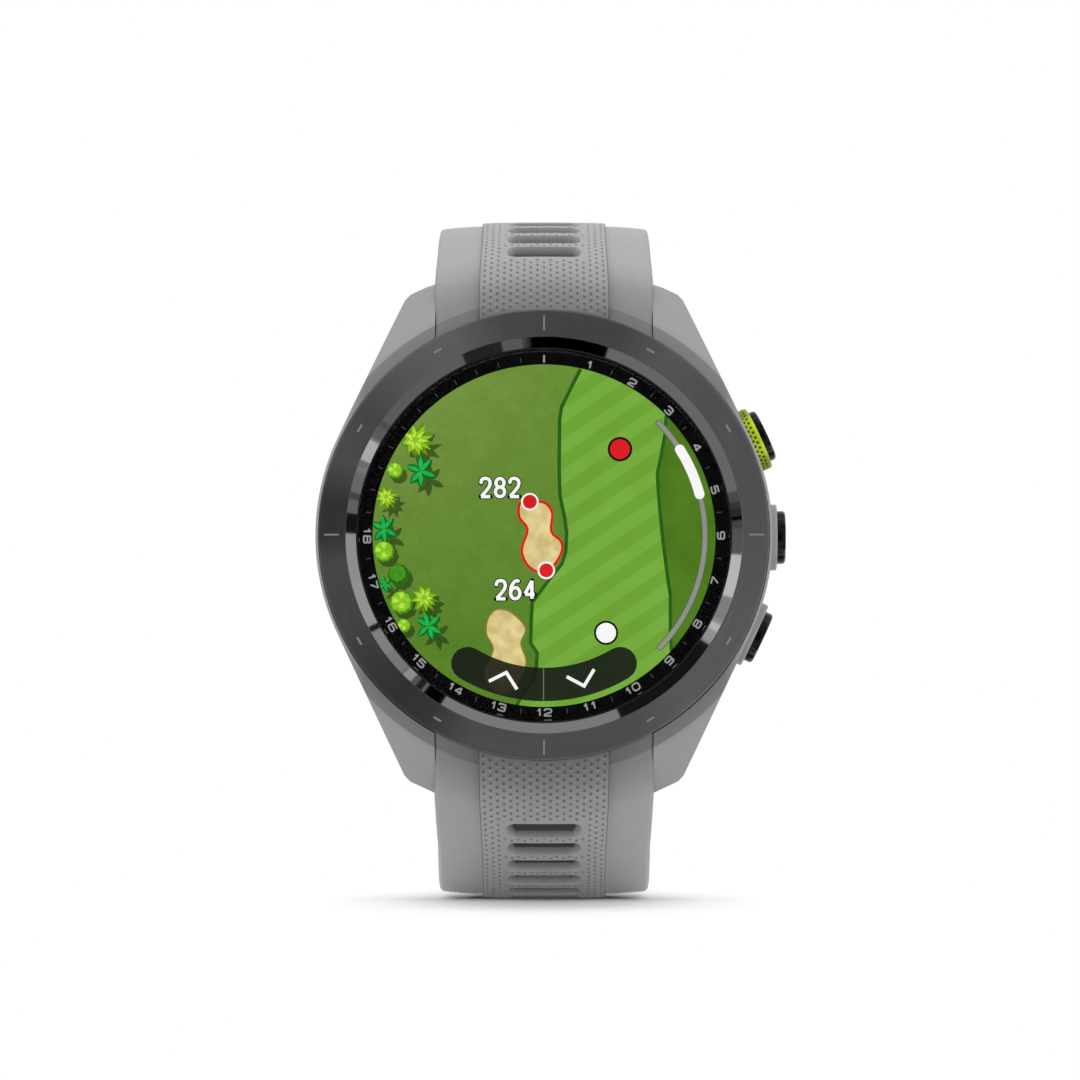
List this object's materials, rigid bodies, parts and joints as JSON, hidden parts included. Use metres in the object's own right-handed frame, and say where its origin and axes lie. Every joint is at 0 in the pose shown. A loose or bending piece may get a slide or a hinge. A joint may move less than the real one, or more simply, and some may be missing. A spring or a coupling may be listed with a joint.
{
  "type": "golf gps watch",
  "caption": "Round wrist watch with a golf course screen, side push buttons, angular lugs, and a buckled rubber strap with a dimpled raised centre panel, shown open.",
  "frame": {"origin": "centre of the display glass's outer face", "axes": "-Y out of the display towards the wearer, +Z to 12 o'clock, +X to the buttons"},
  "size_m": [0.0433, 0.0956, 0.0638],
  "materials": {
    "case_polymer": "fine satin moulding",
    "bezel_metal": "circular satin top, polished inner chamfer",
    "index_inlay": "satin",
    "seal_rubber": "matte",
    "dial_glass": "polished",
    "black_print": "gloss black print with pale numbers",
    "display_screen": "lit colour screen",
    "frame_alloy": "blasted",
    "antenna_alloy": "plain",
    "flex_film": "amber film",
    "board_laminate": "solder mask",
    "shield_tin": "pressed sheet",
    "chip_black": "moulded package",
    "battery_foil": "laminate pouch",
    "motor_steel": "drawn can",
    "cover_polymer": "fine texture",
    "window_lens": "dark polished lens",
    "screw_steel": "turned",
    "contact_gold": "plated",
    "button_metal": "black coating, satin",
    "accent_lime": "anodised lime with dimples",
    "bush_brass": "turned",
    "spring_steel": "wire",
    "strap_rubber": "satin silicone with dimples and vent slots",
    "buckle_metal": "dark satin coating"
  },
  "bodies": {
    "case": {"case_middle": "case_polymer", "bezel": "bezel_metal", "bezel_index_marks": "index_inlay", "bezel_seal": "seal_rubber", "display_glass": "dial_glass", "glass_seal": "seal_rubber", "dial_mask_ring": "black_print", "display_panel": "display_screen", "display_frame": "frame_alloy", "display_flex": "flex_film", "gps_antenna_ring": "antenna_alloy", "main_board": "board_laminate", "shield_can": "shield_tin", "processor_chip": "chip_black", "gnss_chip": "chip_black", "pressure_sensor": "chip_black", "battery": "battery_foil", "vibration_motor": "motor_steel", "switch_flex": "flex_film", "tact_switches": "chip_black", "optical_sensor_board": "board_laminate", "sensor_diodes": "chip_black", "sensor_window": "window_lens", "rear_cover": "cover_polymer", "rear_cover_seal": "seal_rubber", "rear_cover_screws": "screw_steel", "charge_contacts": "contact_gold", "button_bushes": "bush_brass", "button_o_rings": "seal_rubber", "button_accent_ring": "accent_lime", "upper_button_spring": "spring_steel", "middle_button_spring": "spring_steel", "lower_button_spring": "spring_steel"},
    "upper_button": {"upper_button_cap": "button_metal", "upper_button_clip": "spring_steel"},
    "middle_button": {"middle_button_cap": "button_metal", "middle_button_clip": "spring_steel"},
    "lower_button": {"lower_button_cap": "button_metal", "lower_button_clip": "spring_steel"},
    "upper_strap_assembly": {"upper_strap": "strap_rubber", "upper_bar_tube": "screw_steel", "upper_bar_spring": "spring_steel", "fixed_keeper": "strap_rubber", "buckle_bar": "screw_steel"},
    "lower_strap_assembly": {"lower_strap": "strap_rubber", "lower_bar_tube": "screw_steel", "lower_bar_spring": "spring_steel"},
    "upper_bar_latch": {"upper_bar_plunger": "screw_steel"},
    "lower_bar_latch": {"lower_bar_plunger": "screw_steel"},
    "keeper_loop": {"sliding_keeper": "strap_rubber"},
    "buckle_loop": {"buckle_frame": "buckle_metal"},
    "buckle_pin": {"buckle_tongue": "buckle_metal"}
  },
  "joints": [
    {"name": "upper_button_press", "type": "slide", "parent": "case", "child": "upper_button", "axis": [-0.9063, 0, -0.4226], "range_m": [0, 0.00055], "stiffness_N_per_m": 1500, "springref_m": -0.0004, "deforming": ["upper_button_spring"]},
    {"name": "middle_button_press", "type": "slide", "parent": "case", "child": "middle_button", "axis": [-1, 0, 0], "range_m": [0, 0.00055], "stiffness_N_per_m": 1500, "springref_m": -0.0004, "deforming": ["middle_button_spring"]},
    {"name": "lower_button_press", "type": "slide", "parent": "case", "child": "lower_button", "axis": [-0.9063, 0, 0.4226], "range_m": [0, 0.00055], "stiffness_N_per_m": 1500, "springref_m": -0.0004, "deforming": ["lower_button_spring"]},
    {"name": "upper_strap_hinge", "type": "hinge", "parent": "case", "child": "upper_strap_assembly", "pos_m": [0, 0.0063, 0.0219], "axis": [-1, 0, 0], "range_deg": [0, 12]},
    {"name": "lower_strap_hinge", "type": "hinge", "parent": "case", "child": "lower_strap_assembly", "pos_m": [0, 0.0063, -0.0219], "axis": [1, 0, 0], "range_deg": [0, 12]},
    {"name": "upper_bar_release", "type": "slide", "parent": "upper_strap_assembly", "child": "upper_bar_latch", "axis": [-1, 0, 0], "range_m": [0, 0.00112], "stiffness_N_per_m": 300, "springref_m": -0.001, "deforming": ["upper_bar_spring"]},
    {"name": "lower_bar_release", "type": "slide", "parent": "lower_strap_assembly", "child": "lower_bar_latch", "axis": [-1, 0, 0], "range_m": [0, 0.00112], "stiffness_N_per_m": 300, "springref_m": -0.001, "deforming": ["lower_bar_spring"]},
    {"name": "keeper_slide", "type": "slide", "parent": "upper_strap_assembly", "child": "keeper_loop", "axis": [0, 0.7314, -0.682], "range_m": [-0.0035, 0.0024]},
    {"name": "buckle_hinge", "type": "hinge", "parent": "upper_strap_assembly", "child": "buckle_loop", "pos_m": [0, 0.05828, 0.00487], "axis": [-1, 0, 0], "range_deg": [0, 45]},
    {"name": "tongue_hinge", "type": "hinge", "parent": "upper_strap_assembly", "child": "buckle_pin", "pos_m": [0, 0.05828, 0.00487], "axis": [1, 0, 0], "range_deg": [0, 90]}
  ]
}
